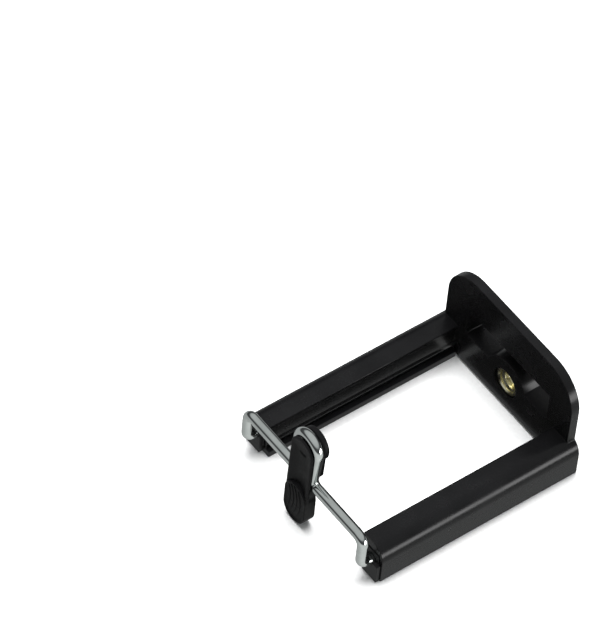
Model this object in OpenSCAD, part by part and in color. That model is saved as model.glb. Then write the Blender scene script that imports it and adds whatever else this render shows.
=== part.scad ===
// Spring-loaded phone holder clamp: a moulded U frame whose two rails house
// the sprung rods of a bent wire clip. The phone lies on the rails and is held
// between the back plate and the thumb pad on the clip. A brass insert in the
// back plate takes a 1/4 inch photographic screw.

/* [Rails] */
// Clear width between the two rails at their top inner edges
rail_gap = 40.2; // [34:0.2:60]
// Width of each rail
rail_w = 8.3; // [7.8:0.1:12]
// Height of each rail
rail_h = 12; // [11:0.1:16]
// Length of the rails from their open ends to the front of the back plate
rail_len = 61; // [48:0.5:90]
// Radius of the outer shoulder of each rail
shoulder_r = 4.7; // [2:0.1:5.5]
// Thickness of the rail roof where it overhangs the inner groove
roof_t = 1.4; // [1:0.1:2.4]
// Depth of the groove along the inner side of each rail
groove_d = 0.8; // [0.4:0.1:1]

/* [Back plate] */
// Width of the back plate
plate_w = 52; // [44:0.5:70]
// Thickness of the back plate
plate_t = 2.7; // [2:0.1:4]
// Height of the back plate's top edge above the base
plate_top = 33.2; // [26:0.2:45]
// Radius of the top corners of the back plate
plate_corner_r = 11; // [3:0.5:12]
// Height of the plate's lower edge above the base
plate_foot = 1; // [0.4:0.1:2]
// Width of the window above the insert
window_w = 34; // [26:0.5:36]
// Height of the window's sill above the base
window_sill = 12.2; // [11:0.1:14]
// Height of the window's top above the base
window_top = 21.4; // [18:0.2:25]
// Depth of the block around the window and the insert, from the plate's front face
block_depth = 6.7; // [5.6:0.1:9]
// Wall thickness around the window and of the block's cores
wall_t = 1.6; // [1.2:0.1:2.4]

/* [Tripod insert] */
// Height of the insert's axis above the base
insert_z = 9.1; // [8.6:0.1:10]
// Outer diameter of the insert's flange
insert_flange_d = 8.4; // [8:0.1:9.4]
// Thickness of the insert's flange
insert_flange_t = 0.8; // [0.5:0.1:1.2]
// Outer diameter of the insert's body
insert_body_d = 7.6; // [7.2:0.1:8]
// Bore of the insert, the minor diameter of a 1/4-20 thread
thread_minor_d = 5.2; // [5:0.05:5.4]
// Depth of the insert's front face below the plate's front face
insert_recess = 0.7; // [0.3:0.1:1.2]
// Thickness of the round boss around the insert's flange
boss_wall = 4; // [2.5:0.1:4.2]

/* [Wire clip] */
// Diameter of the spring steel wire
wire_d = 3; // [2:0.1:3.2]
// Distance of the clip's bar in front of the rail ends, to its centre
bar_out = 3.9; // [3.4:0.1:6]
// Height of the clip's bar above the base, to its centre
bar_z = 16.2; // [15:0.1:20]
// Height of the two rods above the base, to their centres
rod_z = 6.2; // [6:0.1:7]
// Bend radius of the clip's corners, to the wire's centre
bend_r = 2.4; // [2.2:0.1:3]
// Radius of the clip's loop, to the wire's centre
loop_r = 4.05; // [4:0.05:6]
// Height of the loop's centre above the bar
loop_rise = 12; // [11:0.2:16]
// Half width of the neck below the loop, to the wire's centre
neck_half = 3; // [2.6:0.1:3.8]
// Bend radius between the neck and the bar, to the wire's centre
neck_r = 1.9; // [1.7:0.1:2.4]
// How far each rod reaches into its rail from the open end
rod_reach = 55.5; // [44:0.5:80]

/* [Springs] */
// Outer diameter of the compression springs
spring_od = 5; // [4.4:0.1:5.2]
// Diameter of the spring wire
spring_wire = 0.5; // [0.4:0.05:0.7]
// Number of turns of each spring
spring_turns = 22; // [12:1:30]
// Outward travel of the clip
travel = 27; // [15:1:30]

/* [End guides and covers] */
// Length of the end guides inside the rails
guide_len = 5; // [4:0.5:8]
// How far the outer lip of each end guide stands out of the rail
guide_lip = 1.3; // [0.5:0.1:1.6]
// Thickness of the rail covers
cover_t = 2; // [1.6:0.1:2.4]
// How far each cover's inner edge stands out under the groove
cover_lip = 0.5; // [0.2:0.1:1]
// Diameter of the cover screws' shanks
screw_d = 1.6; // [1.4:0.1:2]
// Diameter of the cover screws' countersunk heads
screw_head_d = 3.2; // [2.6:0.1:3.6]
// Length of the cover screws
screw_len = 5; // [4:0.5:7]

/* [Thumb pad] */
// Thickness of the thumb pad's grip
pad_t = 3.7; // [3:0.1:5]
// Half width of the thumb pad
pad_half = 4.4; // [3.6:0.1:5]
// Height of the grip's lowest point above the base
pad_foot = 0.3; // [0.2:0.1:2]
// Length of the grip's straight middle
pad_straight = 5.2; // [3:0.1:8]
// Thickness of the rear flange behind the loop
flange_t = 1.7; // [1.2:0.1:2.5]
// How far the rear flange reaches past the middle of the loop's wire
flange_reach = 0.7; // [0.4:0.1:2]

/* [Hidden] */
$fn = 48;

// Clearances: between fixed pieces, of a sliding rod, and of loose inner pieces
fit = 0.1;
slide_fit = 0.05;
loose = 0.3;
// A cut runs this far past the face that it opens
past = 1;

wire_r = wire_d / 2;
rail_in = rail_gap / 2;
rail_out = rail_in + rail_w;
// The spring channel, centred in the rail with the groove's wall inside it
channel_w = spring_od + 0.4;
channel_top = rod_z + spring_od / 2 + 0.5;
rod_x = rail_in + rail_w / 2 + 0.25;
channel_end = rod_reach + 2;
// The places along the rail of the spring's two seats
washer_t = 0.6;
retainer_t = 0.9;
guide_seat = guide_len;
washer_y = rod_reach - 0.8 - retainer_t - washer_t;
spring_len = washer_y - guide_seat;
// Back plate and its box
plate_back = rail_len + plate_t;
box_back = rail_len + block_depth;
box_half = window_w / 2 + wall_t;
// Insert
insert_front = rail_len + insert_recess;
insert_body_y = insert_front + insert_flange_t;
insert_back = box_back - 0.2;
chamfer = 0.6;
boss_d = insert_flange_d + 2 * boss_wall;
// Clip and loop
bar_y = -bar_out;
loop_z = bar_z + loop_rise;
// Pad
grip_front = bar_y - 3;
grip_low = pad_foot + pad_half;
grip_high = grip_low + pad_straight;
lobe_front = grip_front + 0.3;
hub_r = loop_r - wire_r - 0.15;
flange_front = bar_y + wire_r + 0.05;
flange_r = loop_r + flange_reach;
pad_screw_d = 1.8;
pad_screw_head_d = 3.4;
// The screw's blind hole ends level with the front of the loop's wire
pad_hole_front = bar_y - wire_r;
// Cover screws: one at the far end of each cover
screw_y = rail_len - 1.6;
// Half way between the front of the grip and the back of the box
origin_y = (box_back + grip_front) / 2;

// Everything is drawn from the rails' open ends and moved to the origin here
module placed() {
    translate([0, -origin_y, 0]) children();
}

// A flat outline in X and Z, extruded along Y from y0 to y1
module along_y(y0, y1) {
    translate([0, y1, 0]) rotate([90, 0, 0]) linear_extrude(y1 - y0) children();
}

module mirrored_pair() {
    children();
    mirror([1, 0, 0]) children();
}

// ---------- Frame ----------

module rail_outline() {
    translate([rail_in, 0]) square([rail_w - shoulder_r, rail_h]);
    translate([rail_in, 0]) square([rail_w, rail_h - shoulder_r]);
    translate([rail_out - shoulder_r, rail_h - shoulder_r]) circle(shoulder_r, $fn = 64);
}

module rail() {
    groove_top = rail_h - roof_t;
    seat_top = cover_t + fit;
    cover_out = rod_x + channel_w / 2;
    difference() {
        along_y(0, plate_back) rail_outline();
        // groove along the inner side
        translate([rail_in - past, -past, seat_top])
            cube([past + groove_d, rail_len + past, groove_top - seat_top]);
        // seat for the cover
        translate([rail_in - past, -past, -past])
            cube([past + cover_out - rail_in, rail_len + past, past + seat_top]);
        // spring channel, open below
        translate([rod_x - channel_w / 2, -past, -past])
            cube([channel_w, channel_end + past, channel_top + past]);
        // notch in the roof for the end guide's lug
        translate([rod_x - channel_w / 2, guide_len * 0.4 - fit, channel_top - past])
            cube([channel_w, guide_len * 0.4 + 2 * fit, past + 1.2]);
        // pilot hole for the cover screw
        translate([rod_x, screw_y, 0]) cylinder(h = screw_len + 0.5, d = screw_d);
    }
}

module plate_outline() {
    corner_x = plate_w / 2 - plate_corner_r;
    translate([-plate_w / 2, rail_h - shoulder_r]) square([plate_w, plate_top - plate_corner_r - rail_h + shoulder_r]);
    translate([-corner_x, plate_foot]) square([2 * corner_x, plate_top - plate_foot]);
    translate([-rail_in - 0.5, plate_foot]) square([2 * rail_in + 1, rail_h]);
    for (side = [-1, 1])
        translate([side * corner_x, plate_top - plate_corner_r]) circle(plate_corner_r, $fn = 96);
}

module insert_boss() {
    translate([0, box_back, insert_z]) rotate([90, 0, 0])
        cylinder(h = block_depth, d = boss_d, $fn = 72);
}

module frame() {
    core_in = boss_d / 2 + wall_t / 2;
    color([0.11, 0.11, 0.115]) placed() difference() {
        union() {
            mirrored_pair() rail();
            along_y(rail_len, plate_back) plate_outline();
            translate([-box_half, rail_len, plate_foot])
                cube([2 * box_half, block_depth, window_top + wall_t - plate_foot]);
        }
        // window, with the insert's round boss left standing on its sill
        difference() {
            translate([-window_w / 2, rail_len - past, window_sill])
                cube([window_w, block_depth + 2 * past, window_top - window_sill]);
            insert_boss();
        }
        // cores that lighten the block beside the insert, open below
        mirrored_pair() translate([core_in, rail_len + wall_t, plate_foot - past])
            cube([window_w / 2 - core_in, block_depth - 2 * wall_t, window_sill - wall_t - plate_foot + past]);
        // stepped bore for the insert
        translate([0, box_back + past, insert_z]) rotate([90, 0, 0])
            cylinder(h = box_back - rail_len + 2 * past, d = insert_body_d + 0.04, $fn = 72);
        translate([0, insert_body_y, insert_z]) rotate([90, 0, 0])
            cylinder(h = insert_body_y - rail_len + past, d = insert_flange_d + 0.5, $fn = 72);
    }
}

// ---------- Tripod insert ----------

module tripod_insert() {
    mouth_r = thread_minor_d / 2 + chamfer;
    color([0.80, 0.68, 0.36]) placed() translate([0, insert_back, insert_z]) rotate([90, 0, 0])
        rotate_extrude($fn = 72) polygon([
            [mouth_r, 0],
            [insert_body_d / 2, 0],
            [insert_body_d / 2, insert_back - insert_body_y],
            [insert_flange_d / 2, insert_back - insert_body_y],
            [insert_flange_d / 2, insert_back - insert_front],
            [mouth_r, insert_back - insert_front],
            [thread_minor_d / 2, insert_back - insert_front - chamfer],
            [thread_minor_d / 2, chamfer]]);
}

// ---------- Rail covers and screws ----------

module rail_cover() {
    cover_out = rod_x + channel_w / 2 - fit;
    keel_w = channel_w - 2 * fit;
    keel_top = rod_z - spring_od / 2 - 0.3;
    difference() {
        union() {
            translate([rail_in - cover_lip, 0, 0])
                cube([cover_out - rail_in + cover_lip, rail_len - fit, cover_t]);
            translate([rod_x - keel_w / 2, guide_len + fit, cover_t - 0.2])
                cube([keel_w, channel_end - guide_len - 2 * fit, keel_top - cover_t + 0.2]);
        }
        translate([rod_x, screw_y, -past]) cylinder(h = cover_t + 2 * past, d = screw_d + 0.2);
        translate([rod_x, screw_y, 0]) mirror([0, 0, 1]) translate([0, 0, -1.2])
            cylinder(h = 1.2 + past, d = screw_head_d + 0.2);
    }
}

module rail_cover_right() {
    color([0.13, 0.13, 0.135]) placed() rail_cover();
}

module rail_cover_left() {
    color([0.13, 0.13, 0.135]) placed() mirror([1, 0, 0]) rail_cover();
}

module cover_screws() {
    head_h = 1;
    color([0.55, 0.55, 0.56]) placed() mirrored_pair() translate([rod_x, screw_y, 0.2]) {
        difference() {
            cylinder(h = head_h, d = screw_head_d);
            for (turn = [0, 90])
                rotate([0, 0, turn]) translate([-1, -0.2, -past]) cube([2, 0.4, past + 0.6]);
        }
        translate([0, 0, head_h - 0.1]) cylinder(h = screw_len - head_h + 0.1, d = screw_d);
    }
}

// ---------- End guides ----------

module end_guide() {
    body_w = channel_w - 2 * fit;
    body_foot = cover_t + 2 * fit;
    body_top = channel_top - 0.3;
    lip_in = rod_x - channel_w / 2 + 0.4;
    difference() {
        union() {
            translate([rod_x - body_w / 2, -2 * fit, body_foot])
                cube([body_w, guide_len + 2 * fit, body_top - body_foot]);
            // outer lip against the rail's end, open above the rod
            translate([lip_in, -guide_lip, 0.2])
                cube([rail_out - 0.4 - lip_in, guide_lip - fit / 2, rod_z - 0.2]);
            // lug that locks into the rail's roof
            translate([rod_x - body_w / 2, guide_len * 0.4, body_top - 0.2])
                cube([body_w, guide_len * 0.4, 1.4]);
        }
        translate([rod_x, guide_len + past, rod_z]) rotate([90, 0, 0])
            cylinder(h = guide_len + guide_lip + 2 * past, r = wire_r + slide_fit);
    }
}

module end_guide_right() {
    color([0.16, 0.16, 0.165]) placed() end_guide();
}

module end_guide_left() {
    color([0.16, 0.16, 0.165]) placed() mirror([1, 0, 0]) end_guide();
}

// ---------- Springs, washers and retainers ----------

// A coil swept along Y: rings of six points round a helix
module coil(length, turns, coil_r, wire) {
    steps = 12 * turns;
    sides = 6;
    rise = length - wire;
    function ring(i) = let(a = 360 * i / 12, y = wire / 2 + rise * i / steps)
        [for (k = [0:sides - 1]) let(b = 360 * k / sides, r = coil_r + wire / 2 * cos(b))
            [r * cos(a), y + wire / 2 * sin(b), r * sin(a)]];
    points = [for (i = [0:steps]) each ring(i)];
    sides_faces = [for (i = [0:steps - 1]) for (k = [0:sides - 1])
        let(k2 = (k + 1) % sides, a = i * sides, b = a + sides)
        [a + k, b + k, b + k2, a + k2]];
    ends = [[for (k = [0:sides - 1]) k],
            [for (k = [sides - 1:-1:0]) steps * sides + k]];
    polyhedron(points, concat(sides_faces, ends));
}

module spring() {
    translate([rod_x, guide_seat + 0.05, rod_z])
        coil(spring_len - 0.1, spring_turns, (spring_od - spring_wire) / 2, spring_wire);
}

module spring_right() {
    color([0.62, 0.63, 0.65]) placed() spring();
}

module spring_left() {
    color([0.62, 0.63, 0.65]) placed() translate([-2 * rod_x, 0, 0]) spring();
}

module ring_on_rod(y, thickness, outer_d, bore_r) {
    translate([rod_x, y + thickness, rod_z]) rotate([90, 0, 0]) difference() {
        cylinder(h = thickness, d = outer_d);
        translate([0, 0, -past]) cylinder(h = thickness + 2 * past, r = bore_r);
    }
}

module washer_right() {
    color([0.70, 0.71, 0.72]) placed() ring_on_rod(washer_y, washer_t, spring_od, wire_r + slide_fit);
}

module washer_left() {
    color([0.70, 0.71, 0.72]) placed() mirror([1, 0, 0])
        ring_on_rod(washer_y, washer_t, spring_od, wire_r + slide_fit);
}

module retainer() {
    ring_on_rod(washer_y + washer_t, retainer_t, spring_od - 0.4, wire_r);
}

module retainer_right() {
    color([0.45, 0.46, 0.48]) placed() retainer();
}

module retainer_left() {
    color([0.45, 0.46, 0.48]) placed() mirror([1, 0, 0]) retainer();
}

// ---------- Wire clip ----------

// A station of the wire's path: its point, its direction and the side vector of its section
function bend_in_front(centre, radius, from, to, steps) =
    [for (i = [0:steps]) let(a = from + (to - from) * i / steps, way = to > from ? 1 : -1)
        [[centre[0] + radius * cos(a), bar_y, centre[1] + radius * sin(a)],
         [-way * sin(a), 0, way * cos(a)],
         cross([0, 1, 0], [-way * sin(a), 0, way * cos(a)])]];

function bend_to_rod(steps) =
    [for (i = [0:steps]) let(a = 270 - 90 * i / steps)
        [[rod_x, bar_y + bend_r + bend_r * cos(a), rod_z + bend_r + bend_r * sin(a)],
         [0, sin(a), -cos(a)],
         [1, 0, 0]]];

// The right half of the clip, from the rod's front end to the top of the loop.
// The straight side of the neck touches the neck's bend and the loop.
function half_path() =
    let(neck = [neck_half + neck_r, bar_z + neck_r],
        loop = [0, loop_z],
        apart = norm(loop - neck),
        lean = atan2(loop[1] - neck[1], loop[0] - neck[0]) - asin((neck_r + loop_r) / apart))
    concat(
        bend_to_rod(8),
        bend_in_front([rod_x - bend_r, bar_z - bend_r], bend_r, 0, 90, 8),
        bend_in_front(neck, neck_r, 270, lean + 90, 8),
        bend_in_front(loop, loop_r, lean - 90, 90, 14));

function mirrored_station(s) =
    [[-s[0][0], s[0][1], s[0][2]], [s[1][0], -s[1][1], -s[1][2]], [-s[2][0], s[2][1], s[2][2]]];

// A round wire swept along the stations, with flat ends
module swept_wire(path, radius, sides) {
    last = len(path) - 1;
    points = [for (s = path) for (k = [0:sides - 1])
        let(b = 360 * (k + 0.5) / sides, up = cross(s[1], s[2]))
        s[0] + radius * (cos(b) * s[2] + sin(b) * up)];
    skin = [for (i = [0:last - 1]) for (k = [0:sides - 1])
        let(k2 = (k + 1) % sides, a = i * sides, b = a + sides)
        [a + k, b + k, b + k2, a + k2]];
    ends = [[for (k = [0:sides - 1]) k],
            [for (k = [sides - 1:-1:0]) last * sides + k]];
    polyhedron(points, concat(skin, ends));
}

module wire_clip() {
    half = half_path();
    last = len(half) - 1;
    other_half = [for (i = [last - 1:-1:0]) mirrored_station(half[i])];
    // both ends of the sweep run a little way inside the round rods
    into_rod = [[rod_x, bar_y + bend_r + 0.5, rod_z], [0, -1, 0], [1, 0, 0]];
    path = concat([into_rod], half, other_half, [mirrored_station(into_rod)]);
    color([0.85, 0.86, 0.87]) placed() {
        swept_wire(path, wire_r - 0.01, 16);
        mirrored_pair() translate([rod_x, rod_reach, rod_z]) rotate([90, 0, 0])
            cylinder(h = rod_reach - bar_y - bend_r, r = wire_r);
    }
}

// ---------- Thumb pad ----------

module grip_outline() {
    translate([0, grip_low]) circle(pad_half);
    translate([0, grip_high]) circle(pad_half);
    translate([-pad_half, grip_low]) square([2 * pad_half, pad_straight]);
}

module lobe_outline() {
    translate([0, loop_z - 0.6]) circle(pad_half);
    translate([-pad_half, grip_high]) square([2 * pad_half, loop_z - 0.6 - grip_high]);
}

module pad_front() {
    color([0.07, 0.07, 0.07]) placed() difference() {
        union() {
            along_y(grip_front, grip_front + pad_t) grip_outline();
            along_y(lobe_front, bar_y - wire_r - 0.15) lobe_outline();
            // hub through the loop
            translate([0, flange_front, loop_z]) rotate([90, 0, 0])
                cylinder(h = flange_front - bar_y + wire_r + 0.4, r = hub_r);
        }
        translate([0, flange_front + past, loop_z]) rotate([90, 0, 0])
            cylinder(h = flange_front + past - pad_hole_front, d = pad_screw_d);
    }
}

module flange_outline() {
    translate([0, loop_z]) circle(flange_r, $fn = 96);
    translate([-neck_half - 0.4, bar_z + 1]) square([2 * neck_half + 0.8, loop_rise - 1]);
}

module pad_rear() {
    color([0.07, 0.07, 0.07]) placed() difference() {
        along_y(flange_front, flange_front + flange_t) flange_outline();
        translate([0, flange_front + flange_t + past, loop_z]) rotate([90, 0, 0])
            cylinder(h = flange_t + 2 * past, d = pad_screw_d + 0.2);
        translate([0, flange_front + flange_t + past, loop_z]) rotate([90, 0, 0])
            cylinder(h = past + 1, d = pad_screw_head_d + 0.2);
    }
}

module pad_screw() {
    head_back = flange_front + flange_t - 0.1;
    color([0.55, 0.55, 0.56]) placed() translate([0, head_back, loop_z]) rotate([90, 0, 0]) {
        difference() {
            cylinder(h = 0.85, d = pad_screw_head_d);
            for (turn = [0, 90])
                rotate([0, 0, turn]) translate([-1, -0.2, -past]) cube([2, 0.4, past + 0.5]);
        }
        translate([0, 0, 0.8]) cylinder(h = head_back - 0.8 - pad_hole_front - loose, d = pad_screw_d);
    }
}

frame();
tripod_insert();
rail_cover_left();
rail_cover_right();
cover_screws();
end_guide_left();
end_guide_right();
spring_left();
spring_right();
washer_left();
washer_right();
retainer_left();
retainer_right();
wire_clip();
pad_front();
pad_rear();
pad_screw();
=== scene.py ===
"""Looks of a spring-loaded phone holder clamp.

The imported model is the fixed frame. Every piece here is modelled in millimetres measured from the open
ends of the rails, and is placed in the shared frame in metres.
"""

import logging
import math
from collections.abc import Callable, Iterator
from contextlib import contextmanager
from dataclasses import dataclass
from enum import Enum

import bmesh
import bpy
from mathutils import Matrix, Vector


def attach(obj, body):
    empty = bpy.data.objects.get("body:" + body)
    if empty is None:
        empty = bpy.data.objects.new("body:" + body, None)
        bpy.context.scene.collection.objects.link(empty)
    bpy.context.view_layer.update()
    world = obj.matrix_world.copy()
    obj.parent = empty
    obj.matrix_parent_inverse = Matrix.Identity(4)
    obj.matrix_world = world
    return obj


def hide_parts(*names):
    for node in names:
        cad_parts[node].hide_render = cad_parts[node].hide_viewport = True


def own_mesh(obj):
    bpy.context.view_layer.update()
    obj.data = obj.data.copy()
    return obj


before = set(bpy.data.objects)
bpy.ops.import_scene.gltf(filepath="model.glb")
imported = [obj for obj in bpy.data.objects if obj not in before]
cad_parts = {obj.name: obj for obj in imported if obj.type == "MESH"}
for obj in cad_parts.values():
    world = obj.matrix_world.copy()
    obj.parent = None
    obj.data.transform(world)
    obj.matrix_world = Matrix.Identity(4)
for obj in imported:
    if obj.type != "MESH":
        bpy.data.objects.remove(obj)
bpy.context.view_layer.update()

LOG = logging.getLogger("phone_clamp")
MM = 0.001
# The rails' open ends lie this far in front of the shared origin, in mm
ORIGIN_Y = 30.4
# The spin operator turns left-handed about its axis
SPIN_SIGN = -1

Point = tuple[float, float, float]


class Body(Enum):
    """The two bodies that the pieces ride on."""

    FRAME = "frame_body"
    CLIP = "clip_body"


class Side(Enum):
    """The two mirrored sides of the clamp, by the sign of X."""

    LEFT = -1
    RIGHT = 1

    @property
    def word(self) -> str:
        """The side's name as pieces carry it."""
        return self.name.lower()


# ---------------------------------------------------------------- places and colours


def place(x: float, y: float, z: float) -> Vector:
    """Turns a place measured from the rails' open ends into a point of the shared frame.

    Args:
        x: Across, in mm.
        y: Along the rails, in mm from their open ends.
        z: Up from the base, in mm.

    Returns:
        The point in metres.
    """
    return Vector((x * MM, (y - ORIGIN_Y) * MM, z * MM))


def linear(hex_colour: str) -> tuple[float, float, float, float]:
    """Turns an sRGB hex colour into the linear colour that shaders take.

    Args:
        hex_colour: Six hex digits, with or without a leading #.

    Returns:
        Red, green, blue and an alpha of 1.
    """
    digits = hex_colour.lstrip("#")
    channels = [int(digits[i:i + 2], 16) / 255 for i in (0, 2, 4)]
    red, green, blue = [
        c / 12.92 if c <= 0.04045 else ((c + 0.055) / 1.055) ** 2.4 for c in channels
    ]
    return red, green, blue, 1.0


# ---------------------------------------------------------------- finishes


def add_node(
    tree: bpy.types.NodeTree,
    kind: str,
    sockets: dict[str | int, object] | None = None,
    **settings: object,
) -> bpy.types.Node:
    """Adds one node to a tree.

    Args:
        tree: The tree that gets the node.
        kind: The node's type name.
        sockets: Input sockets by name or number, each a value or another node's output to link.
        **settings: The node's own properties.

    Returns:
        The new node.
    """
    node = tree.nodes.new(kind)
    for name, value in settings.items():
        setattr(node, name, value)
    for name, value in (sockets or {}).items():
        if isinstance(value, bpy.types.NodeSocket):
            tree.links.new(value, node.inputs[name])
        else:
            node.inputs[name].default_value = value
    return node


def add_ramp(
    tree: bpy.types.NodeTree, factor: bpy.types.NodeSocket, stops: list[tuple[float, str]]
) -> bpy.types.NodeSocket:
    """Adds a colour ramp.

    Args:
        tree: The tree that gets it.
        factor: What drives it.
        stops: Positions from 0 to 1, each with its hex colour.

    Returns:
        The ramp's colour output.
    """
    node = add_node(tree, "ShaderNodeValToRGB", {0: factor})
    elements = node.color_ramp.elements
    while len(elements) < len(stops):
        elements.new(0.5)
    for element, (position, colour) in zip(elements, stops):
        element.position = position
        element.color = linear(colour)
    return node.outputs["Color"]


@dataclass(frozen=True)
class Finish:
    """What every finish has: a name, two shades that it drifts between, and its gloss.

    Attributes:
        name: The material's name, a real finish in plain words.
        shade: The main colour, sRGB hex.
        drift: The colour that the broad mottling drifts to, sRGB hex.
        drift_mm: The size of one patch of that mottling.
        rough: The least and the greatest roughness.
    """

    name: str
    shade: str
    drift: str
    drift_mm: float
    rough: tuple[float, float]

    def coordinates(self, tree: bpy.types.NodeTree) -> bpy.types.NodeSocket:
        """The piece's own coordinates, in metres."""
        return add_node(tree, "ShaderNodeTexCoord").outputs["Object"]

    def start(self) -> tuple[bpy.types.Material, bpy.types.NodeTree, bpy.types.Node]:
        """Begins the material.

        Returns:
            The material, its tree and its main shader, linked to the output.
        """
        material = bpy.data.materials.new(self.name)
        material.use_nodes = True
        tree = material.node_tree
        tree.nodes.clear()
        shader = add_node(tree, "ShaderNodeBsdfPrincipled")
        add_node(tree, "ShaderNodeOutputMaterial", {"Surface": shader.outputs["BSDF"]})
        return material, tree, shader

    def mottle(self, tree: bpy.types.NodeTree, shader: bpy.types.Node) -> bpy.types.NodeSocket:
        """Drives the colour and the roughness with broad, soft mottling.

        Args:
            tree: The material's tree.
            shader: Its main shader.

        Returns:
            The coordinates, for further patterns.
        """
        where = self.coordinates(tree)
        noise = add_node(
            tree, "ShaderNodeTexNoise",
            {"Vector": where, "Scale": 1 / (self.drift_mm * MM), "Detail": 4.0, "Roughness": 0.55})
        colour = add_ramp(tree, noise.outputs["Fac"], [(0.35, self.shade), (0.7, self.drift)])
        gloss = add_node(
            tree, "ShaderNodeMapRange",
            {"Value": noise.outputs["Fac"], "From Min": 0.3, "From Max": 0.7,
             "To Min": self.rough[0], "To Max": self.rough[1]})
        tree.links.new(colour, shader.inputs["Base Color"])
        tree.links.new(gloss.outputs["Result"], shader.inputs["Roughness"])
        return where


@dataclass(frozen=True)
class MouldedPlastic(Finish):
    """An injection moulded plastic, glossy or satin, with the skin that its mould gave it.

    Attributes:
        ior: Index of refraction.
        sheen_level: Strength of the mirror-like reflection, 0.5 for a clean polished face.
        skin_mm: Size of one dimple of the moulded skin.
        skin_depth_mm: Its depth.
        scuff_mm: Size of one patch of the faint handling haze.
    """

    ior: float = 1.46
    sheen_level: float = 0.25
    skin_mm: float = 0.7
    skin_depth_mm: float = 0.004
    scuff_mm: float = 5.0

    def material(self) -> bpy.types.Material:
        """Makes the material: mottled gloss, a fine skin, and a faint haze from handling."""
        material, tree, shader = self.start()
        where = self.mottle(tree, shader)
        shader.inputs["IOR"].default_value = self.ior
        shader.inputs["Specular IOR Level"].default_value = self.sheen_level
        skin = add_node(
            tree, "ShaderNodeTexNoise",
            {"Vector": where, "Scale": 1 / (self.skin_mm * MM), "Detail": 3.0, "Roughness": 0.6})
        haze = add_node(
            tree, "ShaderNodeTexNoise",
            {"Vector": where, "Scale": 1 / (self.scuff_mm * MM), "Detail": 6.0, "Roughness": 0.7,
             "Distortion": 0.6})
        height = add_node(
            tree, "ShaderNodeMath", {0: haze.outputs["Fac"], 1: 0.6, 2: skin.outputs["Fac"]},
            operation="MULTIPLY_ADD")
        bump = add_node(
            tree, "ShaderNodeBump",
            {"Height": height.outputs["Value"], "Distance": self.skin_depth_mm * MM, "Strength": 1.0})
        tree.links.new(bump.outputs["Normal"], shader.inputs["Normal"])
        return material


@dataclass(frozen=True)
class DrawnMetal(Finish):
    """Plated or bare steel that was drawn to wire or stamped, with fine lines along one way.

    Attributes:
        line_mm: Spacing of the lines.
        line_depth_mm: Their depth.
        along: The way the lines run, as how much longer a mark is along X, Y and Z.
    """

    line_mm: float = 0.25
    line_depth_mm: float = 0.001
    along: Point = (1.0, 0.08, 1.0)

    def material(self) -> bpy.types.Material:
        """Makes the material: bright metal, mottled a little, with drawn lines."""
        material, tree, shader = self.start()
        where = self.mottle(tree, shader)
        shader.inputs["Metallic"].default_value = 1.0
        stretched = add_node(
            tree, "ShaderNodeMapping", {"Vector": where, "Scale": self.along})
        lines = add_node(
            tree, "ShaderNodeTexNoise",
            {"Vector": stretched.outputs["Vector"], "Scale": 1 / (self.line_mm * MM), "Detail": 2.0})
        bump = add_node(
            tree, "ShaderNodeBump",
            {"Height": lines.outputs["Fac"], "Distance": self.line_depth_mm * MM, "Strength": 1.0})
        tree.links.new(bump.outputs["Normal"], shader.inputs["Normal"])
        return material


@dataclass(frozen=True)
class TurnedMetal(Finish):
    """Metal turned on a lathe about an axis along Y, with the tool's rings round it.

    Attributes:
        axis: A point on the axis, measured from the rails' open ends, in mm.
        ring_mm: Spacing of the rings.
        ring_depth_mm: Their depth.
    """

    axis: Point = (0.0, 0.0, 9.1)
    ring_mm: float = 0.18
    ring_depth_mm: float = 0.003

    def material(self) -> bpy.types.Material:
        """Makes the material: metal with turning rings and slightly uneven gloss."""
        material, tree, shader = self.start()
        where = self.mottle(tree, shader)
        shader.inputs["Metallic"].default_value = 1.0
        centred = add_node(
            tree, "ShaderNodeVectorMath", {0: where, 1: tuple(place(*self.axis))}, operation="SUBTRACT")
        rings = add_node(
            tree, "ShaderNodeTexWave",
            {"Vector": centred.outputs["Vector"], "Scale": 1 / (self.ring_mm * MM) / 20,
             "Distortion": 0.8, "Detail": 2.0, "Detail Scale": 3.0},
            wave_type="RINGS", rings_direction="Y")
        bump = add_node(
            tree, "ShaderNodeBump",
            {"Height": rings.outputs["Fac"], "Distance": self.ring_depth_mm * MM, "Strength": 1.0})
        tree.links.new(bump.outputs["Normal"], shader.inputs["Normal"])
        return material


# Glossy black ABS straight from a polished mould: near-black, with crisp but slightly wavy reflections
GLOSS_ABS = MouldedPlastic("glossy_black_abs", "#0c0c0d", "#141415", 14.0, (0.20, 0.30))
# The covers are a little rougher than the frame; their colour is a shade lighter only as painted reflection,
# so that their edge reads lighter under the groove
COVER_ABS_PAINTED_REFLECTION = MouldedPlastic("rough_black_abs_painted_reflection", "#151516", "#1c1c1d", 9.0, (0.34, 0.46), skin_mm=0.5,
                           skin_depth_mm=0.006)
# Black acetal guides: waxy and soft in gloss, so that the rods slide
ACETAL = MouldedPlastic("black_acetal", "#121213", "#1b1b1c", 6.0, (0.38, 0.5), ior=1.48, skin_mm=0.4,
                        skin_depth_mm=0.006)
# Satin moulded grip plastic: a fine leathery skin that breaks up every highlight
SATIN_GRIP = MouldedPlastic("satin_black_polypropylene", "#0e0e0f", "#151516", 3.0, (0.4, 0.54), ior=1.48,
                            sheen_level=0.12, skin_mm=0.35, skin_depth_mm=0.012)
# Nickel-chrome plate over drawn spring steel: almost a mirror, slightly cool
CHROME_WIRE = DrawnMetal("chrome_plated_wire", "#e4e8e6", "#d3d8d6", 6.0, (0.07, 0.14), line_mm=0.5,
                         line_depth_mm=0.0015)
# Bare oil-tempered spring wire: mid grey with dull lines
SPRING_WIRE = DrawnMetal("oil_tempered_spring_wire", "#9a9c9f", "#7f8184", 4.0, (0.26, 0.4), line_mm=0.2)
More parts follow.
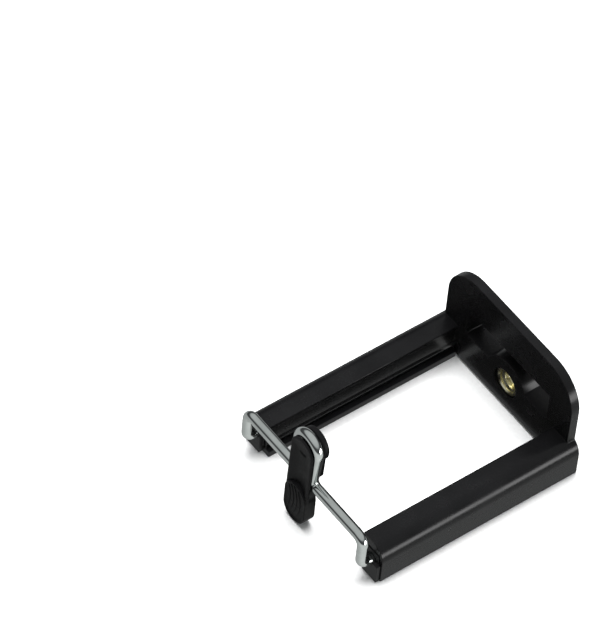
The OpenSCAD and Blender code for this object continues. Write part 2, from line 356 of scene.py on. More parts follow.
# Zinc plated stampings: pale and a little cloudy
ZINC_PLATE = DrawnMetal("zinc_plated_steel", "#c3c6c8", "#a7aaad", 2.0, (0.22, 0.36), line_mm=0.3)
# Phosphated retaining rings: dark grey and dull
PHOSPHATE = DrawnMetal("phosphated_steel", "#5b5d60", "#48494c", 2.0, (0.4, 0.55), line_mm=0.3)
# Nickel plated screws: warm, pale grey
NICKEL_SCREW = DrawnMetal("nickel_plated_screw_steel", "#b9b7b0", "#9c9a94", 2.0, (0.2, 0.32), line_mm=0.3)
# Turned free-cutting brass: pale yellow, bright on its flat ring
BRASS = TurnedMetal("turned_brass", "#efebd2", "#dfd9b4", 2.5, (0.2, 0.32))


# ---------------------------------------------------------------- the modelling bench


def deselect() -> None:
    """Leaves nothing selected and no mesh in edit mode."""
    if bpy.context.object is not None and bpy.context.object.mode != "OBJECT":
        bpy.ops.object.mode_set(mode="OBJECT")
    bpy.ops.object.select_all(action="DESELECT")


def take(piece: bpy.types.Object) -> None:
    """Makes one piece the only selected and the active one."""
    deselect()
    piece.select_set(True)
    bpy.context.view_layer.objects.active = piece


@contextmanager
def editing(piece: bpy.types.Object) -> Iterator[None]:
    """Opens a piece in edit mode and closes it afterwards."""
    take(piece)
    bpy.ops.object.mode_set(mode="EDIT")
    bpy.ops.mesh.select_mode(type="VERT")
    yield
    bpy.ops.object.mode_set(mode="OBJECT")


def pick_faces(piece: bpy.types.Object, wanted: Callable[[Vector, Vector], bool]) -> None:
    """Selects faces of a piece that is open in edit mode.

    Args:
        piece: The piece.
        wanted: Says yes for a face's middle and normal, in metres.
    """
    bpy.ops.mesh.select_mode(type="FACE")
    bpy.ops.mesh.select_all(action="DESELECT")
    shape = bmesh.from_edit_mesh(piece.data)
    for face in shape.faces:
        face.select_set(wanted(face.calc_center_median(), face.normal))
    bmesh.update_edit_mesh(piece.data)


def pick_points(piece: bpy.types.Object, wanted: Callable[[Vector], bool]) -> None:
    """Selects vertices of a piece that is open in edit mode.

    Args:
        piece: The piece.
        wanted: Says yes for a vertex's place, in metres.
    """
    bpy.ops.mesh.select_mode(type="VERT")
    bpy.ops.mesh.select_all(action="DESELECT")
    shape = bmesh.from_edit_mesh(piece.data)
    for vertex in shape.verts:
        vertex.select_set(wanted(vertex.co))
    shape.select_flush(True)
    bmesh.update_edit_mesh(piece.data)


def settle(piece: bpy.types.Object, name: str) -> bpy.types.Object:
    """Names a piece and moves its place into its mesh, so that its object sits at the origin."""
    take(piece)
    bpy.ops.object.transform_apply(location=True, rotation=True, scale=True)
    piece.name = name
    piece.data.name = name
    return piece


def finish_with(piece: bpy.types.Object, kind: str, **settings: object) -> None:
    """Adds a modifier to a piece and applies it.

    Args:
        piece: The piece.
        kind: The modifier's type.
        **settings: Its settings.
    """
    take(piece)
    modifier = piece.modifiers.new(kind.lower(), kind)
    for name, value in settings.items():
        setattr(modifier, name, value)
    bpy.ops.object.modifier_apply(modifier=modifier.name)


def ease_edges(piece: bpy.types.Object, radius: float, from_degrees: float = 35, steps: int = 2) -> None:
    """Rounds a piece's sharp edges as a mould or a tumbling barrel leaves them, and shades it.

    Args:
        piece: The piece.
        radius: Size of the rounding, in mm.
        from_degrees: Edges sharper than this are rounded.
        steps: Facets across the rounding.
    """
    finish_with(
        piece, "BEVEL", width=radius * MM, segments=steps, limit_method="ANGLE",
        angle_limit=math.radians(from_degrees), use_clamp_overlap=False, miter_outer="MITER_ARC")
    take(piece)
    bpy.ops.object.shade_smooth_by_angle(angle=math.radians(40))
    finish_with(piece, "WEIGHTED_NORMAL", weight=100, keep_sharp=True)


def joined(name: str, pieces: list[bpy.types.Object]) -> bpy.types.Object:
    """Joins shells into one piece.

    Args:
        name: The piece's name.
        pieces: The shells; the first one keeps its finish.

    Returns:
        The piece.
    """
    deselect()
    for piece in pieces:
        piece.select_set(True)
    bpy.context.view_layer.objects.active = pieces[0]
    bpy.ops.object.join()
    return settle(pieces[0], name)


def outward(piece: bpy.types.Object) -> None:
    """Merges doubled points and turns every face outwards."""
    with editing(piece):
        bpy.ops.mesh.select_all(action="SELECT")
        bpy.ops.mesh.remove_doubles(threshold=2e-6)
        bpy.ops.mesh.normals_make_consistent(inside=False)


def from_frame(node: str, name: str, radius: float) -> bpy.types.Object:
    """Makes a detailed piece from a CAD node's own shape, with whole faces and eased edges.

    Args:
        node: The CAD node that gives the shape.
        name: The new piece's name.
        radius: Size of the edge rounding, in mm.

    Returns:
        The piece, apart from its finish.
    """
    deselect()
    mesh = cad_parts[node].data.copy()
    mesh.materials.clear()
    piece = bpy.data.objects.new(name, mesh)
    bpy.context.scene.collection.objects.link(piece)
    with editing(piece):
        bpy.ops.mesh.select_all(action="SELECT")
        bpy.ops.mesh.customdata_custom_splitnormals_clear()
        bpy.ops.mesh.remove_doubles(threshold=2e-6)
        bpy.ops.mesh.dissolve_limited(angle_limit=math.radians(0.3))
    ease_edges(piece, radius)
    return settle(piece, name)


def dress(
    piece: bpy.types.Object, finish: bpy.types.Material, body: Body, nodes: tuple[str, ...]
) -> bpy.types.Object:
    """Gives a piece its finish and its place in the moving model.

    Args:
        piece: The piece.
        finish: Its material.
        body: The body that it rides on.
        nodes: The CAD nodes that it stands for.

    Returns:
        The same piece.
    """
    piece.data.materials.clear()
    piece.data.materials.append(finish)
    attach(piece, body.value)
    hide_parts(*nodes)
    triangles = sum(len(face.vertices) - 2 for face in piece.data.polygons)
    LOG.info("%s: %d triangles, rides on %s", piece.name, triangles, body.value)
    return piece


# ---------------------------------------------------------------- sub-assemblies


@dataclass
class Housing:
    """The moulded U frame, its rail covers with their screws, and the guides at the rails' ends."""

    frame_edge: float = 0.22
    cover_edge: float = 0.15
    guide_edge: float = 0.18
    screw_edge: float = 0.06

    def build(self) -> list[bpy.types.Object]:
        """Builds and dresses the pieces of the housing."""
        gloss = GLOSS_ABS.material()
        # the covers' lighter shade is painted reflection
        cover_painted_reflection = COVER_ABS_PAINTED_REFLECTION.material()
        acetal = ACETAL.material()
        pieces = [
            dress(from_frame("frame", "moulded_frame", self.frame_edge), gloss, Body.FRAME,
                  ("frame",)),
            dress(from_frame("cover_screws", "countersunk_cover_screws", self.screw_edge),
                  NICKEL_SCREW.material(), Body.FRAME, ("cover_screws",)),
        ]
        for side in Side:
            cover, guide = f"rail_cover_{side.word}", f"end_guide_{side.word}"
            pieces.append(dress(from_frame(cover, f"{cover}_moulding", self.cover_edge), cover_painted_reflection, Body.FRAME,
                                (cover,)))
            pieces.append(dress(from_frame(guide, f"{guide}_bush", self.guide_edge), acetal, Body.FRAME,
                                (guide,)))
        return pieces


@dataclass
class TripodInsert:
    """The brass insert: a turned and flanged sleeve with a 1/4-20 thread cut in it."""

    height: float = 9.1
    front: float = 61.7
    back: float = 67.5
    flange_radius: float = 4.2
    flange_depth: float = 0.8
    body_radius: float = 3.8
    major_radius: float = 3.175
    minor_radius: float = 2.6
    pitch: float = 1.27

    def sleeve(self) -> bpy.types.Object:
        """Turns the sleeve from its outline about the insert's axis."""
        step = self.front + self.flange_depth
        wall = self.major_radius + 0.06
        outline = [
            (wall + 0.25, self.front), (self.flange_radius - 0.12, self.front),
            (self.flange_radius, self.front + 0.12), (self.flange_radius, step - 0.1),
            (self.flange_radius - 0.1, step), (self.body_radius, step), (self.body_radius, self.back - 0.2),
            (self.body_radius - 0.2, self.back), (wall + 0.2, self.back), (wall, self.back - 0.2),
            (wall, self.front + 0.4)]
        return turned("insert_sleeve", outline, (0.0, self.height), 96)

    def thread(self) -> bpy.types.Object:
        """Winds the thread's ridge along the bore."""
        root = self.major_radius + 0.2
        half_root, half_crest = self.pitch * 0.46, self.pitch * 0.08
        start = self.front + 0.35 + half_root
        turns = (self.back - 0.25 - half_root - start) / self.pitch
        outline = [(root, start - half_root), (self.minor_radius, start - half_crest),
                   (self.minor_radius, start + half_crest), (root, start + half_root)]
        ridge = drawn_outline("insert_thread", [(r, y, self.height) for r, y in outline])
        # the outline lies in the plane through the axis; the winding is made about Z and then laid down
        with editing(ridge):
            bpy.ops.mesh.select_all(action="SELECT")
            bpy.ops.mesh.edge_face_add()
        lay_axis(ridge, self.height, upright=True)
        finish_with(ridge, "SCREW", angle=2 * math.pi * turns, steps=int(48 * turns),
                    render_steps=int(48 * turns), screw_offset=self.pitch * turns * MM, axis="Z",
                    use_merge_vertices=False, use_smooth_shade=True)
        lay_axis(ridge, self.height, upright=False)
        with editing(ridge):
            bpy.ops.mesh.select_all(action="SELECT")
            bpy.ops.mesh.remove_doubles(threshold=1e-7)
            bpy.ops.mesh.select_all(action="DESELECT")
            bpy.ops.mesh.select_non_manifold()
            bpy.ops.mesh.fill_holes(sides=8)
        outward(ridge)
        return ridge

    def build(self) -> list[bpy.types.Object]:
        """Builds and dresses the insert."""
        insert = joined("threaded_brass_insert", [self.sleeve(), self.thread()])
        take(insert)
        bpy.ops.object.shade_smooth_by_angle(angle=math.radians(30))
        return [dress(insert, BRASS.material(), Body.FRAME, ("tripod_insert",))]


def drawn_outline(name: str, points: list[Point]) -> bpy.types.Object:
    """Draws a closed outline point by point.

    Args:
        name: The piece's name.
        points: The places of its corners, in mm from the rails' open ends.

    Returns:
        A piece that has the outline's edges and no face.
    """
    deselect()
    bpy.ops.mesh.primitive_plane_add(size=MM, location=place(*points[0]))
    piece = settle(bpy.context.object, name)
    with editing(piece):
        bpy.ops.mesh.select_all(action="SELECT")
        bpy.ops.mesh.merge(type="CENTER")
        for here, there in zip(points, points[1:]):
            step = place(*there) - place(*here)
            bpy.ops.mesh.extrude_region_move(TRANSFORM_OT_translate={"value": step})
        ends = {tuple(place(*points[0])), tuple(place(*points[-1]))}
        pick_points(piece, lambda co: any((co - Vector(end)).length < 1e-7 for end in ends))
        bpy.ops.mesh.edge_face_add()
    return piece


def turned(
    name: str, outline: list[tuple[float, float]], axis: tuple[float, float], steps: int
) -> bpy.types.Object:
    """Turns a closed outline about an axis along Y, as on a lathe.

    Args:
        name: The piece's name.
        outline: Its corners, each a radius and a place along Y, in mm.
        axis: The axis's X and Z, in mm.
        steps: Facets round it.

    Returns:
        The turned piece.
    """
    piece = drawn_outline(name, [(axis[0] + r, y, axis[1]) for r, y in outline])
    with editing(piece):
        bpy.ops.mesh.select_all(action="SELECT")
        bpy.ops.mesh.spin(steps=steps, angle=2 * math.pi, center=place(axis[0], 0, axis[1]), axis=(0, 1, 0))
    outward(piece)
    take(piece)
    bpy.ops.object.shade_smooth_by_angle(angle=math.radians(30))
    return piece


def lay_axis(piece: bpy.types.Object, height: float, upright: bool) -> None:
    """Stands a piece's Y axis up along Z for winding, or lays it down again.

    Args:
        piece: The piece.
        height: Height of its axis above the base, in mm.
        upright: True to stand it up, False to lay it down.
    """
    take(piece)
    centre = place(0, 0, height)
    stand = Matrix.Rotation(math.radians(90), 4, "X") @ Matrix.Translation(-centre)
    piece.matrix_world = stand if upright else stand.inverted()
    bpy.ops.object.transform_apply(location=True, rotation=True, scale=True)


@dataclass
class SpringPack:
    """The two return springs inside the rails, with the washers and retaining rings on the rods."""

    across: float = 24.5
    height: float = 6.2
    seat: float = 5.05
    length: float = 48.1
    outer_diameter: float = 5.0
    wire: float = 0.5
    turns: int = 22
    travel: float = 27.0
    disc_edge: float = 0.08

    def spring(self, side: Side) -> bpy.types.Object:
        """Winds one spring about Z from a ring of wire and lays it in its rail."""
        deselect()
        coil_radius = (self.outer_diameter - self.wire) / 2
        bpy.ops.mesh.primitive_circle_add(
            vertices=10, radius=self.wire / 2 * MM, location=(coil_radius * MM, 0, self.wire / 2 * MM),
            rotation=(math.radians(90), 0, 0))
        piece = settle(bpy.context.object, f"return_spring_{side.word}")
        finish_with(piece, "SCREW", angle=2 * math.pi * self.turns, steps=20 * self.turns,
                    render_steps=20 * self.turns, screw_offset=(self.length - self.wire) * MM, axis="Z",
                    use_smooth_shade=True)
        with editing(piece):
            bpy.ops.mesh.select_all(action="SELECT")
            bpy.ops.mesh.remove_doubles(threshold=1e-7)
            bpy.ops.mesh.select_all(action="DESELECT")
            bpy.ops.mesh.select_non_manifold()
            bpy.ops.mesh.fill_holes(sides=12)
        piece.matrix_world = (
            Matrix.Translation(place(side.value * self.across, self.seat, self.height))
            @ Matrix.Rotation(math.radians(-90), 4, "X"))
        settle(piece, piece.name)
        outward(piece)
        return piece

    def build(self) -> list[bpy.types.Object]:
        """Builds and dresses the springs, washers and rings."""
        wire, zinc, dark = SPRING_WIRE.material(), ZINC_PLATE.material(), PHOSPHATE.material()
        pieces = []
        for side in Side:
            spring = dress(self.spring(side), wire, Body.FRAME, (f"spring_{side.word}",))
            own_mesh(spring)
            washer, ring = f"washer_{side.word}", f"retainer_{side.word}"
            pieces += [
                spring,
                dress(from_frame(washer, f"{washer}_stamping", self.disc_edge), zinc, Body.CLIP,
                      (washer,)),
                dress(from_frame(ring, f"{ring}_ring", self.disc_edge), dark, Body.CLIP,
                      (ring,))]
        return pieces


@dataclass
class WireClip:
    """The clip, one length of round wire bent cold: two rods, a raised bar and the loop of the thumb pad."""

    # a hair under half the 3 mm wire, because the frame's own wire is faceted and so a little smaller
    wire_radius: float = 1.49
    sides: int = 28
    rod_x: float = 24.5
    rod_z: float = 6.2
    rod_end: float = 55.5
    bar_y: float = -3.9
    bar_z: float = 16.2
    corner: float = 2.4
    neck_half: float = 3.0
    neck_bend: float = 1.9
    loop_radius: float = 4.05
    loop_z: float = 28.2

    def lean(self) -> float:
        """Angle of the neck's straight sides from the bar, in radians."""
        across, up = -(self.neck_half + self.neck_bend), self.loop_z - self.bar_z - self.neck_bend
        apart = math.hypot(across, up)
        return math.atan2(up, across) - math.asin((self.neck_bend + self.loop_radius) / apart)

    def push(self, step: Point) -> None:
        """Feeds a straight length of wire, in mm."""
        bpy.ops.mesh.extrude_region_move(TRANSFORM_OT_translate={"value": Vector(step) * MM})

    def bend(self, centre: Point, axis: Point, degrees: float, steps: int) -> None:
        """Bends the wire round a point.

        Args:
            centre: The bend's centre, in mm from the rails' open ends.
            axis: The bend's axis.
            degrees: How far it turns, right-handed about the axis.
            steps: Facets along the bend.
        """
        bpy.ops.mesh.spin(
            steps=steps, angle=SPIN_SIGN * math.radians(degrees), center=place(*centre), axis=axis)

    def build(self) -> list[bpy.types.Object]:
        """Bends the wire from the right rod's end to the left one's, and dresses it."""
        deselect()
        bpy.ops.mesh.primitive_circle_add(
            vertices=self.sides, radius=self.wire_radius * MM,
            location=place(self.rod_x, self.rod_end, self.rod_z), rotation=(math.radians(90), 0, 0))
        clip = settle(bpy.context.object, "bent_wire_clip")
        lean = math.degrees(self.lean())
        neck_x, neck_z = self.neck_half + self.neck_bend, self.bar_z + self.neck_bend
        neck_turn = 180 - lean
        side_length = math.sqrt(
            neck_x ** 2 + (self.loop_z - neck_z) ** 2 - (self.neck_bend + self.loop_radius) ** 2)
        way = (math.cos(math.radians(lean)) * side_length, math.sin(math.radians(lean)) * side_length)
        front = (0, -1, 0)
        upright = self.bar_z - self.rod_z - 2 * self.corner
        bar = self.rod_x - self.corner - neck_x
        with editing(clip):
            bpy.ops.mesh.select_all(action="SELECT")
            self.push((0, self.bar_y + self.corner - self.rod_end, 0))
            self.bend((self.rod_x, self.bar_y + self.corner, self.rod_z + self.corner), (1, 0, 0), -90, 12)
            self.push((0, 0, upright))
            self.bend((self.rod_x - self.corner, self.bar_y, self.bar_z - self.corner), front, 90, 12)
            self.push((-bar, 0, 0))
            self.bend((neck_x, self.bar_y, neck_z), front, -neck_turn, 14)
            self.push((way[0], 0, way[1]))
            self.bend((0, self.bar_y, self.loop_z), front, 2 * neck_turn, 44)
            self.push((way[0], 0, -way[1]))
            self.bend((-neck_x, self.bar_y, neck_z), front, -neck_turn, 14)
            self.push((-bar, 0, 0))
            self.bend((-self.rod_x + self.corner, self.bar_y, self.bar_z - self.corner), front, 90, 12)
            self.push((0, 0, -upright))
            self.bend((-self.rod_x, self.bar_y + self.corner, self.rod_z + self.corner), (1, 0, 0), 90, 12)
            self.push((0, self.rod_end - self.bar_y - self.corner, 0))
            bpy.ops.mesh.select_all(action="DESELECT")
            bpy.ops.mesh.select_non_manifold()
            bpy.ops.mesh.fill_holes(sides=0)
        outward(clip)
        finish_with(clip, "BEVEL", width=0.25 * MM, segments=2, limit_method="ANGLE",
                    angle_limit=math.radians(60))
        take(clip)
        bpy.ops.object.shade_smooth_by_angle(angle=math.radians(35))
        return [dress(clip, CHROME_WIRE.material(), Body.CLIP, ("wire_clip",))]


@dataclass
class ThumbPad:
    """The thumb pad: a ribbed oval grip, the dished lobe above it, the rear flange and their screw."""

    grip_front: float = -6.9
    grip_depth: float = 3.7
    grip_half: float = 4.4
    grip_low: float = 4.7
    grip_straight: float = 5.2
    rim: float = 0.55
    rim_slope: float = 0.25
    rim_depth: float = 0.35
    lobe_front: float = -6.6
    lobe_back: float = -5.55
    lobe_top: float = 27.6
    lobe_lean: float = 0.45
    lobe_rim: float = 0.7
    loop_z: float = 28.2
    hub_radius: float = 2.4
    flange_front: float = -2.35
    flange_depth: float = 1.7
    flange_half: float = 4.75
    flange_neck: float = 3.4
    flange_foot: float = 17.2
    rib_places: tuple[float, ...] = (-2.1, -0.7, 0.7, 2.1)
    rib_radius: float = 0.3
    rib_bend: float = 11.0
    # the dish's steps: width of each step inwards, its depth and how far it slides down, in mm
    dish: tuple[Point, ...] = ((0.5, 0.16, 0.1), (0.55, 0.2, 0.3), (0.6, 0.16, 0.5), (0.6, 0.1, 0.6),
                               (0.6, 0.04, 0.4))

    def oval(self, name: str, y: float, half: float, low: float, high: float) -> bpy.types.Object:
        """Draws an upright oval face.

        Args:
            name: The piece's name.
            y: Its place along Y, in mm.
            half: Half its width.
            low: Height of its lower centre.
            high: Height of its upper centre.

        Returns:
            The face, filled.
        """
        deselect()
        bpy.ops.mesh.primitive_circle_add(
            vertices=64, radius=half * MM, fill_type="NGON", location=place(0, y, low),
            rotation=(math.radians(90), 0, 0))
        piece = settle(bpy.context.object, name)
        with editing(piece):
            pick_points(piece, lambda co: co.z > (low + 0.01) * MM)
            bpy.ops.transform.translate(value=(0, 0, (high - low) * MM))
        return piece

    def grip(self) -> bpy.types.Object:
        """Moulds the grip: an oval block with a raised rim round its ribbed front."""
        high = self.grip_low + self.grip_straight
        block = self.oval("grip", self.grip_front, self.grip_half, self.grip_low, high)
        with editing(block):
            bpy.ops.mesh.select_all(action="SELECT")
            bpy.ops.mesh.extrude_region_move(
                TRANSFORM_OT_translate={"value": (0, self.grip_depth * MM, 0)})
            bpy.ops.mesh.select_all(action="SELECT")
            bpy.ops.mesh.normals_make_consistent(inside=False)
            pick_faces(block, lambda co, normal: normal.y < -0.9)
            bpy.ops.mesh.inset(thickness=self.rim * MM)
            bpy.ops.mesh.inset(thickness=self.rim_slope * MM, depth=-self.rim_depth * MM)
        ease_edges(block, 0.3, steps=3)
        return block

    def ribs(self) -> list[bpy.types.Object]:
        """Moulds the curved ribs that cross the grip's front from top to bottom."""
        ribs = []
        middle = self.grip_low + self.grip_straight / 2
        reach = self.grip_half - 1.05
        for x in self.rib_places:
            tall = self.grip_straight / 2 + math.sqrt(reach ** 2 - x ** 2) - 0.1
            angle = math.asin(tall / self.rib_bend)
            centre = (x - self.rib_bend, self.grip_front + 0.42, middle)
            start = (centre[0] + self.rib_bend * math.cos(angle), centre[1],
                     middle - self.rib_bend * math.sin(angle))
            deselect()
            bpy.ops.mesh.primitive_circle_add(
                vertices=12, radius=self.rib_radius * MM, location=place(*start),
                rotation=(0, -angle, 0))
            rib = settle(bpy.context.object, "grip_rib")
            with editing(rib):
                bpy.ops.mesh.select_all(action="SELECT")
                bpy.ops.mesh.spin(steps=18, angle=SPIN_SIGN * -2 * angle, center=place(*centre),
                                  axis=(0, 1, 0))
                bpy.ops.mesh.select_mode(type="VERT")
                bpy.ops.mesh.select_all(action="DESELECT")
                bpy.ops.mesh.select_non_manifold()
                bpy.ops.mesh.fill_holes(sides=0)
            outward(rib)
            finish_with(rib, "BEVEL", width=0.12 * MM, segments=2, limit_method="ANGLE",
                        angle_limit=math.radians(60))
            take(rib)
            bpy.ops.object.shade_smooth_by_angle(angle=math.radians(35))
            ribs.append(rib)
        return ribs

    def lobe(self) -> bpy.types.Object:
        """Moulds the paddle in front of the loop: it leans back to its top and is dished for the thumb."""
        low = self.grip_low + self.grip_straight
        middle = (low + self.lobe_top) / 2
        lobe = self.oval("lobe", self.lobe_back, self.grip_half, low, self.lobe_top)
        with editing(lobe):
            bpy.ops.mesh.select_all(action="SELECT")
            bpy.ops.mesh.extrude_region_move(
                TRANSFORM_OT_translate={"value": (0, (self.lobe_front - self.lobe_back) * MM, 0)})
            front = place(0, self.lobe_front, 0).y
            pick_points(lobe, lambda co: co.y < front + 0.1 * MM and co.z > middle * MM)
            bpy.ops.transform.translate(value=(0, self.lobe_lean * MM, 0))
            bpy.ops.mesh.select_all(action="SELECT")
            bpy.ops.mesh.normals_make_consistent(inside=False)
            pick_faces(lobe, lambda co, normal: normal.y < -0.9)
            bpy.ops.mesh.inset(thickness=self.lobe_rim * MM)
            for thickness, depth, drop in self.dish:
                bpy.ops.mesh.inset(thickness=thickness * MM)
                bpy.ops.transform.translate(value=(0, depth * MM, -drop * MM))
        ease_edges(lobe, 0.3, from_degrees=50, steps=3)
        return lobe

    def hub(self) -> bpy.types.Object:
        """Moulds the round hub that fills the loop and takes the screw."""
        deselect()
        bpy.ops.mesh.primitive_cylinder_add(
            vertices=48, radius=self.hub_radius * MM, depth=(self.flange_front - self.lobe_back) * MM,
            location=place(0, (self.flange_front + self.lobe_back) / 2, self.loop_z),
            rotation=(math.radians(90), 0, 0))
        hub = settle(bpy.context.object, "hub")
        with editing(hub):
            pick_faces(hub, lambda co, normal: normal.y > 0.9)
            bpy.ops.mesh.inset(thickness=(self.hub_radius - 0.9) * MM)
            bpy.ops.mesh.extrude_region_move(TRANSFORM_OT_translate={"value": (0, -2.4 * MM, 0)})
        ease_edges(hub, 0.1)
        return hub

    def flange(self) -> bpy.types.Object:
        """Moulds the rear flange, whose rounded rim lies behind the loop and down to the bar."""
        flange = self.oval("thumb_pad_flange", self.flange_front, self.flange_half, self.loop_z, self.loop_z)
        waist = self.loop_z - math.sqrt(self.flange_half ** 2 - self.flange_neck ** 2)
        with editing(flange):
            # the lowest part of the ring is flattened and drawn down to the bar as the neck's foot
            pick_points(flange, lambda co: co.z < waist * MM)
            bpy.ops.transform.resize(
                value=(1.0, 1, 0.3), center_override=place(0, self.flange_front, waist))
            bpy.ops.transform.translate(value=(0, 0, (self.flange_foot + 0.5 - waist) * MM))
            bpy.ops.mesh.select_all(action="SELECT")
            bpy.ops.mesh.extrude_region_move(
                TRANSFORM_OT_translate={"value": (0, self.flange_depth * MM, 0)})
            bpy.ops.mesh.select_all(action="SELECT")
            bpy.ops.mesh.normals_make_consistent(inside=False)
        ease_edges(flange, 0.5, steps=4)
        deselect()
        bpy.ops.mesh.primitive_cylinder_add(
            vertices=48, radius=1.8 * MM, depth=2 * MM,
            location=place(0, self.flange_front + self.flange_depth, self.loop_z),
            rotation=(math.radians(90), 0, 0))
        cutter = settle(bpy.context.object, "counterbore")
        finish_with(flange, "BOOLEAN", object=cutter, operation="DIFFERENCE", solver="EXACT")
        bpy.data.objects.remove(cutter)
        take(flange)
        bpy.ops.object.shade_smooth_by_angle(angle=math.radians(40))
        return flange

    def build(self) -> list[bpy.types.Object]:
        """Builds and dresses the pad's pieces."""
        satin = SATIN_GRIP.material()
        front = joined("thumb_pad_grip", [self.grip(), self.lobe(), self.hub(), *self.ribs()])
        return [
            dress(front, satin, Body.CLIP, ("pad_front",)),
            dress(self.flange(), satin, Body.CLIP, ("pad_rear",)),
            dress(from_frame("pad_screw", "thumb_pad_screw", 0.06), NICKEL_SCREW.material(), Body.CLIP,
                  ("pad_screw",))]


# ---------------------------------------------------------------- studio

# Black cards on the floor, each by its lowest and its highest X and Y, in mm from the rails' open ends
FLAGS = {
    "flag_between_rails": ((-17.5, 0.5), (19.5, 59.5)),
    "flag_left_of_rail": ((-46.0, 15.0), (-29.0, 62.0)),
}


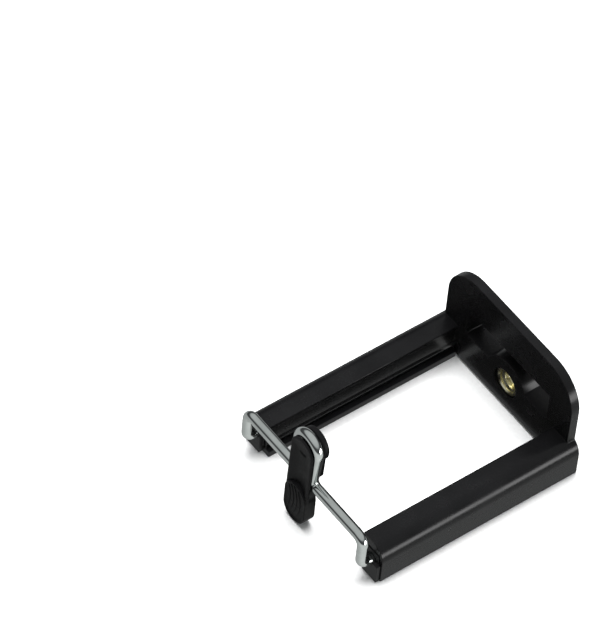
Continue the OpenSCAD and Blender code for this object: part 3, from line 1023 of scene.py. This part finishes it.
@dataclass
class Studio:
    """The pale floor, the soft lights and the camera.

    Attributes:
        azimuth: Degrees that the camera's heading turns from +Y towards -X.
        elevation: Degrees that it looks down.
        roll: Degrees that it is rolled about its heading.
        distance: From the camera to its target, in mm.
        target: Its target, in mm from the rails' open ends.
        focal: Focal length of a 36 mm wide frame, in mm.
    """

    azimuth: float = 48.953
    elevation: float = 50.432
    roll: float = 5.940
    distance: float = 1508.61
    target: Point = (-47.002, 30.0, 12.554)
    focal: float = 344.987

    def camera(self) -> None:
        """Sets up the camera."""
        heading, dip = math.radians(self.azimuth), math.radians(self.elevation)
        forward = Vector((-math.sin(heading) * math.cos(dip), math.cos(heading) * math.cos(dip),
                          -math.sin(dip)))
        right = forward.cross(Vector((0, 0, 1))).normalized()
        up = right.cross(forward)
        turn = math.radians(self.roll)
        axes = (right * math.cos(turn) + up * math.sin(turn), up * math.cos(turn) - right * math.sin(turn),
                -forward)
        data = bpy.data.cameras.new("studio_camera")
        data.type = "PERSP"
        data.sensor_fit = "HORIZONTAL"
        data.sensor_width = 36.0
        data.lens = self.focal
        data.clip_start = 0.1
        data.clip_end = 20
        camera = bpy.data.objects.new("studio_camera", data)
        bpy.context.scene.collection.objects.link(camera)
        where = place(*self.target) - forward * self.distance * MM
        camera.matrix_world = Matrix.Translation(where) @ Matrix(axes).transposed().to_4x4()
        bpy.context.scene.camera = camera

    def softbox(
        self, name: str, where: Point, aim: Point, size: tuple[float, float], power: float
    ) -> bpy.types.Object:
        """Adds a soft rectangular light.

        Args:
            name: Its name.
            where: Its place, in metres.
            aim: What it points at, in metres.
            size: Its width and height, in metres.
            power: Its power, in watts.

        Returns:
            The light.
        """
        data = bpy.data.lights.new(name, "AREA")
        data.shape = "RECTANGLE"
        data.size, data.size_y = size
        data.energy = power
        light = bpy.data.objects.new(name, data)
        bpy.context.scene.collection.objects.link(light)
        light.location = where
        light.rotation_euler = (Vector(aim) - Vector(where)).to_track_quat("-Z", "Y").to_euler()
        return light

    def velvet(self) -> bpy.types.Material:
        """Makes the black velvet of the flags."""
        velvet = bpy.data.materials.new("black_velvet")
        velvet.use_nodes = True
        shader = velvet.node_tree.nodes["Principled BSDF"]
        shader.inputs["Base Color"].default_value = linear("#262626")
        shader.inputs["Roughness"].default_value = 1.0
        return velvet

    def flag(
        self, name: str, low: tuple[float, float], high: tuple[float, float], velvet: bpy.types.Material
    ) -> None:
        """Lays a black card on the floor, which only mirror reflections see.

        Args:
            name: Its name.
            low: Its lowest X and Y, in mm from the rails' open ends.
            high: Its highest X and Y, in mm.
            velvet: Its material.
        """
        deselect()
        bpy.ops.mesh.primitive_plane_add(
            size=1.0, location=place((low[0] + high[0]) / 2, (low[1] + high[1]) / 2, 0.1))
        bpy.ops.transform.resize(value=((high[0] - low[0]) * MM, (high[1] - low[1]) * MM, 1.0))
        flag = settle(bpy.context.object, name)
        flag.data.materials.append(velvet)
        for way in ("camera", "diffuse", "transmission", "volume_scatter", "shadow"):
            setattr(flag, f"visible_{way}", False)

    def floor(self) -> None:
        """Lays the paper floor, far larger than the view."""
        deselect()
        bpy.ops.mesh.primitive_plane_add(size=6.0, location=(0, 0, 0))
        floor = settle(bpy.context.object, "studio_floor")
        paper = bpy.data.materials.new("matt_white_paper")
        paper.use_nodes = True
        tree = paper.node_tree
        tree.nodes.clear()
        where = add_node(tree, "ShaderNodeTexCoord").outputs["Object"]
        fibre = add_node(tree, "ShaderNodeTexNoise", {"Vector": where, "Scale": 900.0, "Detail": 4.0})
        colour = add_ramp(tree, fibre.outputs["Fac"], [(0.3, "#f6f6f6"), (0.7, "#fcfcfc")])
        shader = add_node(tree, "ShaderNodeBsdfPrincipled", {"Base Color": colour, "Roughness": 0.9})
        shader.inputs["Specular IOR Level"].default_value = 0.1
        add_node(tree, "ShaderNodeOutputMaterial", {"Surface": shader.outputs["BSDF"]})
        floor.data.materials.append(paper)
        # shiny surfaces see the world's pale table instead of the paper
        floor.visible_glossy = False

    def world(self) -> None:
        """Sets what shiny surfaces see: a pale ceiling, a dark band above the horizon and a pale table."""
        world = bpy.data.worlds.new("studio_world")
        bpy.context.scene.world = world
        world.use_nodes = True
        tree = world.node_tree
        tree.nodes.clear()
        direction = add_node(tree, "ShaderNodeTexCoord").outputs["Generated"]
        way = add_node(tree, "ShaderNodeSeparateXYZ", {0: direction}).outputs
        above = add_ramp(tree, way["Z"], [
            (0.0, "#3c3d3e"), (0.38, "#4a4b4c"), (0.6, "#b2b4b4"), (1.0, "#babcbc")])
        across = add_node(
            tree, "ShaderNodeMapRange", {"Value": way["X"], "From Min": -1.0, "From Max": 1.0})
        below = add_ramp(tree, across.outputs["Result"], [
            (0.2, "#a8aaaa"), (0.5, "#b8bab9"), (0.8, "#d6d8d7")])
        rise = add_node(
            tree, "ShaderNodeMapRange", {"Value": way["Z"], "From Min": -0.15, "From Max": 0.02})
        both = add_node(
            tree, "ShaderNodeMix", {0: rise.outputs["Result"], 6: below, 7: above},
            data_type="RGBA")
        background = add_node(
            tree, "ShaderNodeBackground", {"Color": both.outputs[2], "Strength": 1.0})
        add_node(tree, "ShaderNodeOutputWorld", {"Surface": background.outputs["Background"]})

    def build(self) -> None:
        """Sets up the whole studio."""
        self.camera()
        self.floor()
        velvet = self.velvet()
        for name, (low, high) in FLAGS.items():
            self.flag(name, low, high, velvet)
        self.world()
        # the key lights the paper and casts the shadows; the card only shows as a glint along the right side
        key = self.softbox("key_softbox", (-0.3, 0.15, 1.4), (0, 0, 0), (1.0, 1.0), 40.0)
        key.visible_glossy = False
        card = self.softbox("horizon_card", (1.15, 0.62, 0.1), (0, 0, 0.02), (0.9, 0.42), 11.0)
        card.visible_diffuse = False
        bpy.context.scene.view_settings.view_transform = "Standard"


def main() -> None:
    """Builds the studio and the clamp, one sub-assembly after another."""
    logging.basicConfig(level=logging.INFO, format="%(message)s")
    Studio().build()
    for assembly in (Housing(), TripodInsert(), SpringPack(), WireClip(), ThumbPad()):
        pieces = assembly.build()
        LOG.info("%s: %s", type(assembly).__name__, ", ".join(piece.name for piece in pieces))


if __name__ == "__main__":
    main()
